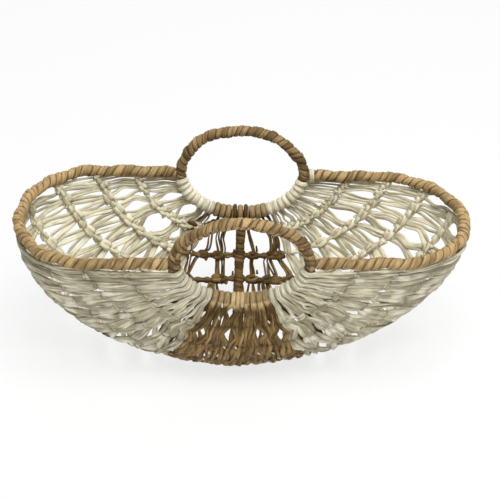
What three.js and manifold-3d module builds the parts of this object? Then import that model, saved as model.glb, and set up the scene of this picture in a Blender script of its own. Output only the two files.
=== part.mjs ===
// Boat-shaped netted basket with two oval hand hoops.
// Millimetres, +Z up, +X along the length. The origin is on the floor, under the middle of the rim.
import * as THREE from "three";
import { mergeVertices } from "three/addons/utils/BufferGeometryUtils.js";
import Module from "manifold-3d";

// Frame of bent rods, to the centre lines
const rimHalfLength = 232.5;
const rimHalfWidth = 96.5;
const rimEndLength = 81;
const rimHeight = 157;
const hoopHalfWidth = 67.5;
const hoopRise = 49.5;
const hoopDip = 46.5;
const hoopLeanDegrees = 7.5;
const rodDiameter = 7.4;
const ribRodDiameter = 5;

// Jute strip wound on the rods
const stripThickness = 1.8;
const handleStripWidth = 5.6;
const handleStripCrown = 3.6;
const handleTurns = 24;
const handleWrapStart = 7.5;
const rimTurns = 52;
const rimStrips = 2;
const rimWrapDiameter = 12.2;
const rimWrapGroove = 0.8;
const ribTurns = 34;
const ribWrapDiameter = 9;
const ribWrapGroove = 0.5;
const ribHitchWidth = 7.5;
const ribFlatDepth = 0.5;

// Netted wall: doubled cords from hoop to hoop, crossed by rows of cord
const brownCordsPerSide = 4;
const whiteCordsPerSide = 8;
const cordWidth = 4.4;
const spreadWidth = 11;
const spreadShare = 0.6;
const cordThickness = 2;
const rowCordWidth = 3;
const rowCordThickness = 1.5;
const clearance = 0.3;
const brownHitchArc = 30;
const lastHitchArc = 80;
const brownKeelHalf = 76;
const keelFlatHalf = 32;
const keelCurvePower = 1.9;
const keelCrowding = 1.33;
const cordBelowRim = 13;
const wallFullness = 1.9;
const keelFullness = 1.05;
const rimFullness = 0.9;
const rowPlaces = [0.107, 0.204, 0.307, 0.42];
const rowRise = 0.23;

// How the hand-made basket has settled: the belly hangs to one side, one back corner is pulled down
const bellySway = 8;
const cornerDrop = 6.4;

// Steps of the curves
const hoopSteps = 32;
const rimSteps = 24;
const ribSteps = 22;
const rodSides = 6;
const wrapSides = 6;
const stepsPerTurn = 8;
const hitchSteps = 4;
const hitchAngle = 200;
const lashingSteps = 4;
const pathDivisions = 800;
const keelStationShare = 0.03;
const slopeShare = 0.01;
const slopeCords = 0.2;

// Shares and limits
const cordFlatShare = 0.1;
const longestHalfCrossing = 0.46;
const samePoint = 1e-4;
const sameRun = 1e-6;

const rodRadius = rodDiameter / 2;
const ribRodRadius = ribRodDiameter / 2;
const hoopLean = THREE.MathUtils.degToRad(hoopLeanDegrees);
const halfHitchStep = THREE.MathUtils.degToRad(hitchAngle / hitchSteps) / 2;
const hitchRadius = (rodRadius + clearance + cordThickness / 2) / Math.cos(halfHitchStep);
const cordLift = cordThickness * (0.5 - cordFlatShare);
const ribInset = ribWrapDiameter / 2 * Math.cos(Math.PI / wrapSides) - ribFlatDepth - cordLift;
const cordsPerSide = brownCordsPerSide + whiteCordsPerSide;
const colourChange = brownCordsPerSide + 0.5;

const wasm = await Module();
wasm.setup();

// Small helpers
const vector = (x, y, z) => new THREE.Vector3(x, y, z);
const sum = (...parts) => parts.reduce((total, part) => total.add(part), vector(0, 0, 0));
const times = (v, s) => v.clone().multiplyScalar(s);
const between = (a, b) => b.clone().sub(a).normalize();

class Path extends THREE.Curve {
  constructor(place) {
    super();
    this.place = place;
    this.arcLengthDivisions = pathDivisions;
  }

  getPoint(u, target = new THREE.Vector3()) {
    return target.copy(this.place(u));
  }
}

function solidOf(geometry) {
  const bare = geometry.clone();
  bare.deleteAttribute("normal");
  bare.deleteAttribute("uv");
  const merged = mergeVertices(bare, samePoint);
  const index = [];
  for (let i = 0; i < merged.index.count; i += 3) {
    const [a, b, c] = [0, 1, 2].map((n) => merged.index.getX(i + n));
    if (a !== b && b !== c && c !== a) index.push(a, b, c);
  }
  return new wasm.Manifold(new wasm.Mesh({
    numProp: 3,
    vertProperties: new Float32Array(merged.attributes.position.array),
    triVerts: new Uint32Array(index),
  }));
}

function geometryOf(solid) {
  const mesh = solid.getMesh();
  const geometry = new THREE.BufferGeometry();
  geometry.setAttribute("position", new THREE.BufferAttribute(new Float32Array(mesh.vertProperties), 3));
  geometry.setIndex(new THREE.BufferAttribute(new Uint32Array(mesh.triVerts), 1));
  return geometry;
}

// A closed solid through rings of points; a closed one joins its last ring to its first.
function skin(rings, closed = false) {
  const sides = rings[0].length;
  const at = (i, j) => (i % rings.length) * sides + (j % sides);
  const index = [];
  for (let i = 0; i < rings.length - (closed ? 0 : 1); i++) {
    for (let j = 0; j < sides; j++) {
      index.push(at(i, j), at(i, j + 1), at(i + 1, j));
      index.push(at(i, j + 1), at(i + 1, j + 1), at(i + 1, j));
    }
  }
  const last = rings.length - 1;
  for (let j = 1; j < sides - 1 && !closed; j++) {
    index.push(at(0, 0), at(0, j + 1), at(0, j));
    index.push(at(last, 0), at(last, j), at(last, j + 1));
  }
  const geometry = new THREE.BufferGeometry();
  geometry.setFromPoints(rings.flat());
  geometry.setIndex(index);
  return geometry;
}

// A cord through points, with a profile [across, out] whose thickness is kept round each bend.
function cord(points, outs, profile, closed = false) {
  const count = points.length;
  const rings = points.map((point, i) => {
    const previous = points[closed ? (i + count - 1) % count : Math.max(i - 1, 0)];
    const next = points[closed ? (i + 1) % count : Math.min(i + 1, count - 1)];
    const after = between(next === point ? previous : point, next === point ? point : next);
    const before = previous === point ? after : between(previous, point);
    const along = sum(before, after).normalize();
    const bend = after.clone().sub(before);
    const mitre = 1 / along.dot(after) - 1;
    if (bend.length() > sameRun) bend.normalize();
    const out = outs[i].clone().addScaledVector(along, -outs[i].dot(along)).normalize();
    const across = out.clone().cross(along);
    const section = typeof profile === "function" ? profile(i) : profile;
    return section.map(([u, v]) => {
      const offset = sum(times(across, u), times(out, v));
      offset.addScaledVector(bend, mitre * offset.dot(bend));
      return offset.add(point);
    });
  });
  return skin(rings, closed);
}

const roundProfile = (radius, sides) => Array.from({ length: sides }, (_, j) => {
  const angle = (2 * Math.PI * (j + 0.5)) / sides;
  return [radius * Math.cos(angle), radius * Math.sin(angle)];
});
const diamondProfile = (width, thickness) => [
  [width / 2, 0],
  [0, thickness / 2],
  [-width / 2, 0],
  [0, -thickness / 2],
];
const tapeProfile = (width, crown, thickness) => [
  [width / 2, -thickness / 2],
  [crown / 2, thickness / 2],
  [-crown / 2, thickness / 2],
  [-width / 2, -thickness / 2],
];

// Hoops: an oval that rises to the hand-hold and dips to the bar which carries the cords
function hoopFrame(face, angle) {
  const height = Math.sin(angle) > 0 ? hoopRise : hoopDip;
  const up = vector(0, face * Math.sin(hoopLean), Math.cos(hoopLean));
  const outward = vector(0, face * Math.cos(hoopLean), -Math.sin(hoopLean));
  const centre = sum(
    vector(hoopHalfWidth * Math.cos(angle), face * rimHalfWidth, rimHeight),
    times(up, height * Math.sin(angle)),
  );
  const radial = sum(vector(height * Math.cos(angle), 0, 0), times(up, hoopHalfWidth * Math.sin(angle)));
  return { centre, outward, radial: radial.normalize() };
}

function hoopRod(face) {
  const turn = -face * 2 * Math.PI / hoopSteps;
  const frames = Array.from({ length: hoopSteps }, (_, i) => hoopFrame(face, turn * i));
  const profile = roundProfile(rodRadius, rodSides);
  return cord(frames.map((f) => f.centre), frames.map((f) => f.radial), profile, true);
}

// Rim bars: straight beside the hoops, a half oval round each end
const rimPath = (side) => {
  const straight = rimHalfLength - rimEndLength - hoopHalfWidth;
  const bend = Math.PI * Math.sqrt((rimEndLength ** 2 + rimHalfWidth ** 2) / 2);
  const total = 2 * straight + bend;
  return new Path((u) => {
    const run = u * total;
    const beyond = THREE.MathUtils.clamp(run - straight, 0, bend);
    const angle = Math.PI * beyond / bend;
    const leg = run < straight ? run : Math.min(total - run, straight);
    const x = hoopHalfWidth + leg + rimEndLength * Math.sin(angle);
    return vector(side * x, rimHalfWidth * Math.cos(angle), rimHeight);
  });
};

function evenRuns(from, to, steps) {
  return Array.from({ length: steps + 1 }, (_, i) => from + (to - from) * i / steps);
}

function bentRod(path, rodRuns, radius, up) {
  const points = rodRuns.map((run) => path.getPointAt(run / path.getLength()));
  return cord(points, points.map(() => up), roundProfile(radius, rodSides));
}

// A wrapped sleeve: each strip winds as a ridge beside a groove from end to end round a bored tube.
function wrappedSleeve(path, from, to, turns, strips, crest, groove, bore, boreRuns, up) {
  const pitch = (to - from) / turns;
  const length = path.getLength();
  const around = (run, radius, j) => {
    const u = (from + run) / length;
    const along = path.getTangentAt(u);
    const first = up.clone().addScaledVector(along, -up.dot(along)).normalize();
    const second = along.clone().cross(first);
    const angle = 2 * Math.PI * (j + 0.5) / wrapSides - Math.PI / 2;
    const out = sum(times(first, Math.cos(angle)), times(second, Math.sin(angle)));
    return path.getPointAt(u).addScaledVector(out, radius);
  };
  const outer = (i, j) => {
    const run = pitch * (i / 2 + strips * (1 - j / wrapSides));
    const inside = run > sameRun && run < to - from - sameRun;
    const radius = inside && i % 2 === 0 ? crest : crest - groove;
    return around(THREE.MathUtils.clamp(run, 0, to - from), radius, j);
  };
  const points = [];
  const quad = (a, b, c, d) => points.push(a, b, c, b, d, c);
  for (let i = -2 * strips; i < 2 * turns; i++) {
    for (let j = 0; j < wrapSides; j++) {
      quad(outer(i, j), outer(i, j + 1), outer(i + 1, j), outer(i + 1, j + 1));
    }
  }
  for (let j = 0; j < wrapSides; j++) {
    for (const [run, near, far] of [[0, bore, crest - groove], [to - from, crest - groove, bore]]) {
      quad(around(run, near, j), around(run, near, j + 1), around(run, far, j), around(run, far, j + 1));
    }
    for (let i = 1; i < boreRuns.length; i++) {
      const [near, far] = [i - 1, i].map((n) => THREE.MathUtils.clamp(boreRuns[n] - from, 0, to - from));
      quad(around(far, bore, j), around(far, bore, j + 1), around(near, bore, j), around(near, bore, j + 1));
    }
  }
  return new THREE.BufferGeometry().setFromPoints(points);
}

// Handle wrap: one unbroken strip wound round the rising half of a hoop
function handleWrap(face) {
  const arch = new Path((u) => hoopFrame(face, Math.PI * u).centre);
  const length = arch.getLength() - 2 * handleWrapStart;
  const count = handleTurns * stepsPerTurn;
  const radius = (rodRadius + clearance + stripThickness / 2) / Math.cos(Math.PI / stepsPerTurn);
  const points = [];
  const outs = [];
  for (let i = 0; i <= count; i++) {
    const u = (handleWrapStart + length * i / count) / arch.getLength();
    const frame = hoopFrame(face, Math.PI * arch.getUtoTmapping(u));
    const angle = 2 * Math.PI * i / stepsPerTurn;
    const out = sum(times(frame.radial, Math.cos(angle)), times(frame.outward, Math.sin(angle)));
    points.push(sum(frame.centre, times(out, radius)));
    outs.push(out);
  }
  points.unshift(sum(points[0], times(between(points[1], points[0]), stripThickness)));
  points.push(sum(points.at(-1), times(between(points.at(-2), points.at(-1)), stripThickness)));
  outs.unshift(outs[0]);
  outs.push(outs.at(-1));
  const geometry = cord(points, outs, tapeProfile(handleStripWidth, handleStripCrown, stripThickness));
  const gap = leastGap(geometry, 4, stepsPerTurn);
  console.log(`${face < 0 ? "front" : "back"} handle wrap: least gap ${gap.toFixed(2)} mm`);
  return geometry;
}

// Least distance between points of a wound strip that are more than half a turn apart
function leastGap(geometry, sides, perTurn) {
  const position = geometry.attributes.position;
  const rings = position.count / sides;
  const a = new THREE.Vector3();
  const b = new THREE.Vector3();
  let least = Infinity;
  for (let i = 0; i < rings; i++) {
    for (let m = i + perTurn / 2 + 1; m < Math.min(rings, i + 2 * perTurn); m++) {
      for (let n = 0; n < sides * sides; n++) {
        a.fromBufferAttribute(position, i * sides + (n % sides));
        b.fromBufferAttribute(position, m * sides + Math.floor(n / sides));
        least = Math.min(least, a.distanceTo(b));
      }
    }
  }
  return least;
}

// Wall surface: cord number k, counted from the keel rib and negative to the left, at t from front to back
const dipPath = new Path((u) => {
  const angle = Math.PI * u / 2;
  return vector(hoopHalfWidth * Math.sin(angle), 0, hoopDip * (1 - Math.cos(angle)));
});
const keelTop = rimHeight - cordBelowRim;
const keelPath = new Path((u) => {
  const x = rimHalfLength * Math.sin(Math.PI * u / 2);
  const rise = Math.max(0, x - keelFlatHalf) / (rimHalfLength - keelFlatHalf);
  const fraction = 1 - Math.max(0, 1 - rise ** keelCurvePower) ** (1 / keelCurvePower);
  return vector(x, 0, cordLift + (keelTop - cordLift) * fraction);
});
const cordPaths = new Map();

// Where cord number k leaves the bars and where it crosses the keel
function cordPlace(number) {
  const inBrown = number < colourChange;
  const share = inBrown ? number / colourChange : (number - colourChange) / (cordsPerSide - colourChange);
  const arc = inBrown ? brownHitchArc * share : brownHitchArc + (lastHitchArc - brownHitchArc) * share;
  const turn = Math.PI * dipPath.getUtoTmapping(arc / dipPath.getLength()) / 2;
  const crowded = 1 - (1 - Math.min(share, 1)) ** keelCrowding;
  const keelLength = keelPath.getLength();
  const keelArc = inBrown ? brownKeelHalf * share : brownKeelHalf + (keelLength - brownKeelHalf) * crowded;
  return { turn, low: keelPath.getPointAt(keelArc / keelLength) };
}

function cordPath(k) {
  if (cordPaths.has(k)) return cordPaths.get(k);
  const number = Math.abs(k);
  const side = k < 0 ? -1 : 1;
  const { turn, low } = cordPlace(number);
  const hitch = hoopFrame(1, turn - Math.PI / 2);
  const start = sum(hitch.centre, times(hitch.outward, hitchRadius));
  const reach = number / cordsPerSide;
  const fullness = wallFullness + keelFullness * (1 - reach) ** 2 + rimFullness * reach ** 6;
  const path = new Path((t) => {
    const sway = Math.abs(Math.cos(Math.PI * t)) ** (2 / fullness);
    const sink = Math.sin(Math.PI * t) ** (2 / fullness);
    const y = (t < 0.5 ? -1 : 1) * start.y * sway;
    return vector(side * (start.x + (low.x - start.x) * sink), y, start.z + (low.z - start.z) * sink);
  });
  cordPaths.set(k, path);
  return path;
}

const wallPoint = (k, t) => cordPath(k).getPointAt(THREE.MathUtils.clamp(t, 0, 1));

function wallOut(k, t) {
  const down = wallPoint(k, t + slopeShare).sub(wallPoint(k, t - slopeShare));
  const [inner, outer] = [Math.max(k - slopeCords, -cordsPerSide), Math.min(k + slopeCords, cordsPerSide)];
  return down.cross(wallPoint(outer, t).sub(wallPoint(inner, t))).normalize();
}

// The two strands of a cord lie close on the bar and spread where the wall widens
function pairWidth(k, t) {
  const inner = wallPoint(k - Math.sign(k), t);
  return THREE.MathUtils.clamp(spreadShare * inner.distanceTo(wallPoint(k, t)), cordWidth, spreadWidth);
}

// Rows are counted from the front hoop to the back one
const rowCount = 2 * rowPlaces.length;

function rowPlace(row, k) {
  const inFront = row < rowCount / 2;
  const place = rowPlaces[inFront ? row : rowCount - 1 - row];
  const raised = place * (1 - rowRise * (1 - Math.abs(k) / cordsPerSide));
  return inFront ? raised : 1 - raised;
}

function hitchPoints(k, face) {
  const frame = hoopFrame(face, Math.sign(k) * cordPlace(Math.abs(k)).turn - Math.PI / 2);
  return Array.from({ length: hitchSteps }, (_, i) => {
    const angle = THREE.MathUtils.degToRad(hitchAngle * (1 - i / hitchSteps));
    const out = sum(times(frame.outward, Math.cos(angle)), times(frame.radial, -Math.sin(angle)));
    return { point: sum(frame.centre, times(out, hitchRadius)), out };
  });
}

// A doubled cord: hitched over the front bar, down under the basket and over the back bar
function netCord(k) {
  const rows = Array.from({ length: rowCount }, (_, row) => rowPlace(row, k));
  const middle = rowCount / 2;
  const keelMarks = [0.5 - keelStationShare, 0.5 + keelStationShare];
  const marks = [0, ...rows.slice(0, middle), ...keelMarks, ...rows.slice(middle), 1];
  const curved = Math.abs(k) > brownCordsPerSide + whiteCordsPerSide / 2;
  const stations = marks.flatMap((mark, i) => {
    const besideKeel = i === middle || i === middle + 2;
    return i + 1 < marks.length && (curved || besideKeel) ? [mark, (mark + marks[i + 1]) / 2] : [mark];
  });
  const front = hitchPoints(k, -1);
  const back = hitchPoints(k, 1).reverse();
  const wall = stations.map((t) => ({ point: wallPoint(k, t), out: wallOut(k, t) }));
  const all = [...front, ...wall, ...back];
  const narrow = front.map(() => cordWidth);
  const widths = [...narrow, ...stations.map((t) => pairWidth(k, t)), ...narrow];
  const profiles = widths.map((width) => diamondProfile(width, cordThickness));
  return cord(all.map((a) => a.point), all.map((a) => a.out), (i) => profiles[i]);
}

// A row passes alternately outside and inside the cords it crosses
function rowCrossing(row, k, before, after) {
  const t = rowPlace(row, k);
  const out = wallOut(k, t);
  const here = wallPoint(k, t);
  const spacing = Math.min(here.distanceTo(before), here.distanceTo(after));
  const along = between(before, after);
  const slant = Math.abs(between(wallPoint(k, t - slopeShare), wallPoint(k, t + slopeShare)).dot(along));
  const reach = (pairWidth(k, t) + rowCordWidth * slant) / (2 * Math.sqrt(1 - slant ** 2));
  const half = Math.min(reach + clearance, longestHalfCrossing * spacing);
  const weave = (cordThickness / 2 + clearance + rowCordThickness / 2) * ((row + Math.abs(k)) % 2 ? 1 : -1);
  const centre = sum(here, times(out, weave));
  return [-half, half].map((shift) => ({ point: sum(centre, times(along, shift)), out }));
}

const rowPoint = (row, k) => wallPoint(k, rowPlace(row, k));
const rowProfile = [
  [rowCordWidth / 2, -rowCordThickness / 2],
  [0, rowCordThickness / 2],
  [-rowCordWidth / 2, -rowCordThickness / 2],
];

function whiteRow(row, side) {
  const seam = rowPoint(row, side * colourChange);
  const towards = between(seam, rowPoint(row, side * (brownCordsPerSide + 1)));
  const seamOut = wallOut(side * colourChange, rowPlace(row, side * colourChange));
  const stops = [{ point: sum(seam, times(towards, 2 * clearance)), out: seamOut }];
  for (let n = brownCordsPerSide + 1; n <= cordsPerSide; n++) {
    const before = rowPoint(row, side * (n - 1));
    const here = rowPoint(row, side * n);
    const after = n < cordsPerSide ? rowPoint(row, side * (n + 1)) : sum(here, here, times(before, -1));
    stops.push(...rowCrossing(row, side * n, before, after));
  }
  const [inner, outer] = stops.slice(-2);
  const beyond = times(between(inner.point, outer.point), rowCordThickness / 2);
  stops.push({ point: sum(outer.point, beyond), out: outer.out });
  return cord(stops.map((s) => s.point), stops.map((s) => s.out), rowProfile);
}

function brownRow(row) {
  const end = (k) => ({ point: rowPoint(row, k), out: wallOut(k, rowPlace(row, k)) });
  const stops = [end(-colourChange)];
  for (let k = -brownCordsPerSide; k <= brownCordsPerSide; k++) {
    const before = rowPoint(row, k - 1);
    const after = rowPoint(row, k + 1);
    if (k !== 0) {
      stops.push(...rowCrossing(row, k, before, after));
      continue;
    }
    const out = wallOut(0, rowPlace(row, 0));
    const centre = sum(rowPoint(row, 0), times(out, cordThickness / 2));
    stops.push(...[-ribRodRadius, ribRodRadius].map((x) => ({ point: sum(centre, vector(x, 0, 0)), out })));
  }
  stops.push(end(colourChange));
  return cord(stops.map((s) => s.point), stops.map((s) => s.out), rowProfile);
}

// Keel rib: a wrapped rod inside the brown cords, hitched over both bars, with the brown rows tied to it
const ribPath = new Path((t) => sum(wallPoint(0, t), times(wallOut(0, t), -ribInset)));
const ribStart = rodRadius + 2 * clearance;
const ribLength = ribPath.getLength();
const ribRuns = evenRuns(ribStart, ribLength - ribStart, ribSteps);
const sideways = vector(1, 0, 0);

// The lashing that holds the rib to a bar
function ribHitch(face) {
  const frame = hoopFrame(face, -Math.PI / 2);
  const local = (out, drop) => sum(frame.centre, times(frame.outward, out), times(frame.radial, drop));
  const axis = hitchRadius - ribInset;
  const legs = (ribWrapDiameter - ribWrapGroove) / 2;
  const turns = Array.from({ length: lashingSteps + 1 }, (_, i) => {
    const angle = Math.PI * i / lashingSteps;
    const out = sum(times(frame.outward, Math.cos(angle)), times(frame.radial, -Math.sin(angle)));
    return { point: sum(frame.centre, times(out, hitchRadius)), out };
  });
  const depth = rodDiameter + cordThickness;
  const stops = [
    { point: local(axis + legs, depth), out: frame.outward },
    ...turns,
    { point: local(axis - legs, depth), out: times(frame.outward, -1) },
  ];
  const tape = tapeProfile(ribHitchWidth, ribHitchWidth - cordThickness / 2, cordThickness);
  return cord(stops.map((s) => s.point), stops.map((s) => s.out), tape);
}

function ribWrap() {
  const bore = ribRodRadius + clearance;
  const crest = ribWrapDiameter / 2;
  const end = ribLength - ribStart;
  const groove = ribWrapGroove;
  const sleeve = wrappedSleeve(ribPath, ribStart, end, ribTurns, 1, crest, groove, bore, ribRuns, sideways);
  let solid = solidOf(sleeve);
  for (let row = 0; row < rowCount; row++) solid = solid.add(solidOf(brownRow(row)));
  const core = solidOf(bentRod(ribPath, ribRuns, bore, sideways));
  for (const face of [-1, 1]) solid = solid.add(solidOf(ribHitch(face)).subtract(core));
  return geometryOf(solid);
}

// What rests on the floor is cut flat at its level.
function cutFlat(geometry) {
  const depth = 10;
  const floor = new THREE.BoxGeometry(4 * rimHalfLength, 4 * rimHalfWidth, depth).translate(0, 0, -depth / 2);
  return geometryOf(solidOf(geometry).subtract(solidOf(floor)));
}

// The settled shape: every point of the basket moves by the same smooth shear.
function settle(geometry) {
  const position = geometry.attributes.position;
  for (let i = 0; i < position.count; i++) {
    const x = position.getX(i);
    const y = position.getY(i);
    const z = position.getZ(i);
    const height = THREE.MathUtils.clamp(z / rimHeight, 0, 2);
    const back = (y + rimHalfWidth) / (2 * rimHalfWidth);
    position.setX(i, x - bellySway * Math.max(0, 1 - height));
    position.setZ(i, z - cornerDrop * (x / rimHalfLength) * back * Math.min(height, 1));
  }
  return geometry;
}

const finish = (color, roughness) => new THREE.MeshStandardMaterial({ color, roughness });
const rodFinish = finish(0x9a7848, 0.6);
const juteFinish = finish(0xb4925f, 0.85);
const brownFinish = finish(0x6f5535, 0.9);
const whiteFinish = finish(0xc9c4a8, 0.8);

const basket = new THREE.Group();

function piece(name, geometry, material) {
  const mesh = new THREE.Mesh(settle(geometryOf(solidOf(geometry))), material);
  mesh.name = name;
  basket.add(mesh);
}

for (const [name, face] of [["front", -1], ["back", 1]]) {
  piece(`${name}_hoop_rod`, hoopRod(face), rodFinish);
  piece(`${name}_handle_wrap`, handleWrap(face), juteFinish);
}
const rimRodStart = rodRadius + clearance;
const rimWrapStart = rodRadius + clearance + stripThickness + clearance;
for (const [name, side] of [["left", -1], ["right", 1]]) {
  const rim = rimPath(side);
  const length = rim.getLength();
  const up = vector(0, 0, 1);
  const rodRuns = evenRuns(rimRodStart, length - rimRodStart, rimSteps);
  piece(`${name}_rim_rod`, bentRod(rim, rodRuns, rodRadius, up), rodFinish);
  const bore = rodRadius + clearance;
  const crest = rimWrapDiameter / 2;
  const groove = rimWrapGroove;
  const end = length - rimWrapStart;
  const sleeve = wrappedSleeve(rim, rimWrapStart, end, rimTurns, rimStrips, crest, groove, bore, rodRuns, up);
  piece(`${name}_rim_wrap`, sleeve, juteFinish);
}
piece("keel_rib_rod", bentRod(ribPath, ribRuns, ribRodRadius, sideways), rodFinish);
piece("keel_rib_wrap", cutFlat(ribWrap()), brownFinish);
for (const [name, side] of [["left", -1], ["right", 1]]) {
  for (let n = 1; n <= brownCordsPerSide; n++) {
    piece(`brown_cord_${name}_${n}`, cutFlat(netCord(side * n)), brownFinish);
  }
  for (let n = 1; n <= whiteCordsPerSide; n++) {
    piece(`white_cord_${name}_${n}`, netCord(side * (brownCordsPerSide + n)), whiteFinish);
  }
  for (let row = 0; row < rowCount; row++) {
    piece(`white_row_${name}_${row + 1}`, whiteRow(row, side), whiteFinish);
  }
}

export default basket;
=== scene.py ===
import math

import bpy
import numpy as np
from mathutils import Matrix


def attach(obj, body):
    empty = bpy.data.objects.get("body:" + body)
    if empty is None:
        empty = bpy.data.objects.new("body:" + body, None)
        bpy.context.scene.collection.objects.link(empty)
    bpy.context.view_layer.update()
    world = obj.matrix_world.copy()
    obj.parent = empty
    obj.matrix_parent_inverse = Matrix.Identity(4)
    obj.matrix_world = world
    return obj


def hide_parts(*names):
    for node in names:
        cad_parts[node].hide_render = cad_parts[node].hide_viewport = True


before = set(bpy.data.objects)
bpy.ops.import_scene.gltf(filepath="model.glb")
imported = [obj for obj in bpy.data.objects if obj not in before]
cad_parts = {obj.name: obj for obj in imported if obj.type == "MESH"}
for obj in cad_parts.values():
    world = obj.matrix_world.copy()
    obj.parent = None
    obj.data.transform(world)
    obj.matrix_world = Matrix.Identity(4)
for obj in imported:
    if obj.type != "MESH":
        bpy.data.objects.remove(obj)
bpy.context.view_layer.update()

scene = bpy.context.scene

# The frame of bent cane: two closed oval hoops that lean outwards, two bars bent like a U that join them
# round the ends, and a thin rod down the middle of the net. The wrapping hides the cane, so it keeps the
# solids' shape and gets a dry, grained finish.
thread_scale, band_scale, cloud_scale = 1500, 420, 55
drawn_out = (0.09, 1.0, 1.0)
thread_part, band_part, cloud_part, tint_part = 0.45, 0.75, 0.7, 0.75
contrast, middle_stop, bump_distance = 2.1, 0.55, 0.0006


class Wire:
    """A socket of a material. Sums, differences, products and powers of these, and of these and numbers,
    add their Math nodes."""

    def __init__(self, tree, socket=None):
        self.tree, self.socket = tree, socket

    def node(self, kind, settings, values, out=0):
        """The output asked for of a new node: its settings come first, then a value or a link for each
        socket."""
        made = self.tree.nodes.new("ShaderNode" + kind)
        for key, value in settings.items():
            if key == "stops":
                elements = made.color_ramp.elements
                while len(elements) < len(value):
                    elements.new(0.5)
                for element, (place, colour) in zip(elements, value):
                    element.position, element.color = place, (*colour, 1)
            else:
                setattr(made, key, value)
        for key, value in values.items():
            if isinstance(value, Wire):
                value.feed(made, key)
            else:
                made.inputs[key].default_value = value
        return Wire(self.tree, made.outputs[out])

    def output(self, key):
        """Another output of the same node."""
        return Wire(self.tree, self.socket.node.outputs[key])

    def feed(self, node, key):
        """Link this to a socket of a node."""
        self.tree.links.new(self.socket, node.inputs[key])

    def _math(self, operation, a, b):
        return self.node("Math", {"operation": operation}, {0: a, 1: b})

    def __add__(self, other):
        return self._math("ADD", self, other)

    def __radd__(self, other):
        return self._math("ADD", other, self)

    def __sub__(self, other):
        return self._math("SUBTRACT", self, other)

    def __rsub__(self, other):
        return self._math("SUBTRACT", other, self)

    def __mul__(self, other):
        return self._math("MULTIPLY", self, other)

    def __rmul__(self, other):
        return self._math("MULTIPLY", other, self)

    def __pow__(self, other):
        return self._math("POWER", self, other)

    def __rpow__(self, other):
        return self._math("POWER", other, self)

    def mix(self, a, b):
        """Colour a where this is 0 and colour b where it is 1."""
        a, b = ((*c, 1) if isinstance(c, tuple) else c for c in (a, b))
        return self.node("Mix", {"data_type": "RGBA"}, {0: self, 6: a, 7: b}, 2)


def fibre_finish(name, dark, light, deep, pale, roughness, streak, bump, on_strand=True):
    """Plant fibre. The shade runs from dark to light with the sum of three noises, fine threads, bands and
    clouds, and of the strand's own tint, less their mean and times the contrast. It turns to deep where
    painted_shade is set, a painted shade, and to pale along single threads where bleach is
    set, partly wear and partly a painted highlight. Threads and bands also make the bump, and are drawn out
    along each strand, or along X on a piece that has no strands."""
    finish = bpy.data.materials.new(name)
    finish.use_nodes = True
    shader = finish.node_tree.nodes["Principled BSDF"]
    start = Wire(finish.node_tree)
    if on_strand:
        fibre = start.node("Attribute", {"attribute_name": "fibre"}, {}, "Vector")
    else:
        fibre = start.node("TexCoord", {}, {}, "Object")
    look = start.node("Attribute", {"attribute_name": "look"}, {}, "Vector")
    tint = start.node("SeparateXYZ", {}, {0: look})
    painted_shade, bleach = tint.output(1), tint.output(2)
    grain = start.node("VectorMath", {"operation": "MULTIPLY"}, {0: fibre, 1: drawn_out})
    threads = start.node("TexNoise", {}, {
        "Vector": grain, "Scale": thread_scale, "Detail": 3.0, "Roughness": 0.6})
    bands = start.node("TexNoise", {}, {"Vector": grain, "Scale": band_scale, "Detail": 2.0})
    clouds = start.node("TexNoise", {}, {"Vector": fibre, "Scale": cloud_scale, "Detail": 2.0})
    mixed = (threads * (thread_part * streak) + bands * (band_part * streak) + clouds * cloud_part
             + (tint - 0.5) * tint_part)
    mean = (thread_part + band_part) / 2 * streak + cloud_part / 2
    level = (mixed - mean) * contrast + 0.5
    middle = tuple((d + l) / 2 for d, l in zip(dark, light))
    shades = start.node("ValToRGB", {"stops": [(0.0, dark), (middle_stop, middle), (1.0, light)]}, {0: level})
    # Painted shade: the colour goes to deep as painted_shade rises. The paleness of bleach is partly wear and
    # partly a painted highlight.
    shades = (painted_shade ** 0.8).mix(shades, deep)
    shades = (bleach * (threads * 2.4 - 0.2)).mix(shades, pale)
    shades.feed(shader, "Base Color")
    (roughness + (threads - 0.5) * 0.3).feed(shader, "Roughness")
    height = threads * 0.6 + bands * 0.8
    relief = start.node("Bump", {}, {"Strength": bump, "Distance": bump_distance, "Height": height})
    relief.feed(shader, "Normal")
    shader.inputs["Specular IOR Level"].default_value = 0.15
    return finish


cane = fibre_finish("bent_cane", dark=(0.20, 0.12, 0.06), light=(0.42, 0.28, 0.15), deep=(0.1, 0.06, 0.03),
                    pale=(0.5, 0.35, 0.2), roughness=0.55, streak=0.8, bump=0.2, on_strand=False)
for node in ("front_hoop_rod", "back_hoop_rod", "left_rim_rod", "right_rim_rod", "keel_rib_rod"):
    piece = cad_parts[node]
    piece.data.materials.clear()
    piece.data.materials.append(cane)

# Flat jute strip, wound round the rim bars and the hand-holds: two strips side by side, each turn laid hard
# against the last, so that their edges make slanted grooves. It ends tight against the hoops. Made by
# hand, the basket has settled: its belly hangs to one side, and one back corner is lower.
rim_half_length, rim_half_width, rim_end_length, rim_height = 0.2325, 0.0965, 0.081, 0.157
hoop_half_width, hoop_rise, hoop_dip = 0.0675, 0.0495, 0.0465
hoop_lean = math.radians(7.5)
belly_sway, corner_drop = 0.008, 0.0064
strip_pitch, handle_pitch, strips_abreast = 0.0092, 0.0072, 2
wrap_radius, strip_swell, fold_size, lump_size = 0.0060, 0.0018, 0.00016, 0.0003
flat_share, flat_loss, arch_drop, groove_drop, strip_tilt = 0.78, 0.24, 0.25, 0.8, 0.7
bend_size, bend_fade = 0.0007, 0.02
end_share, end_length = 0.72, 0.0018
wrap_start, handle_reach = 0.0052, 0.14
round_count, ring_step = 48, 0.0005
seed = np.random.default_rng(7)
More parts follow.
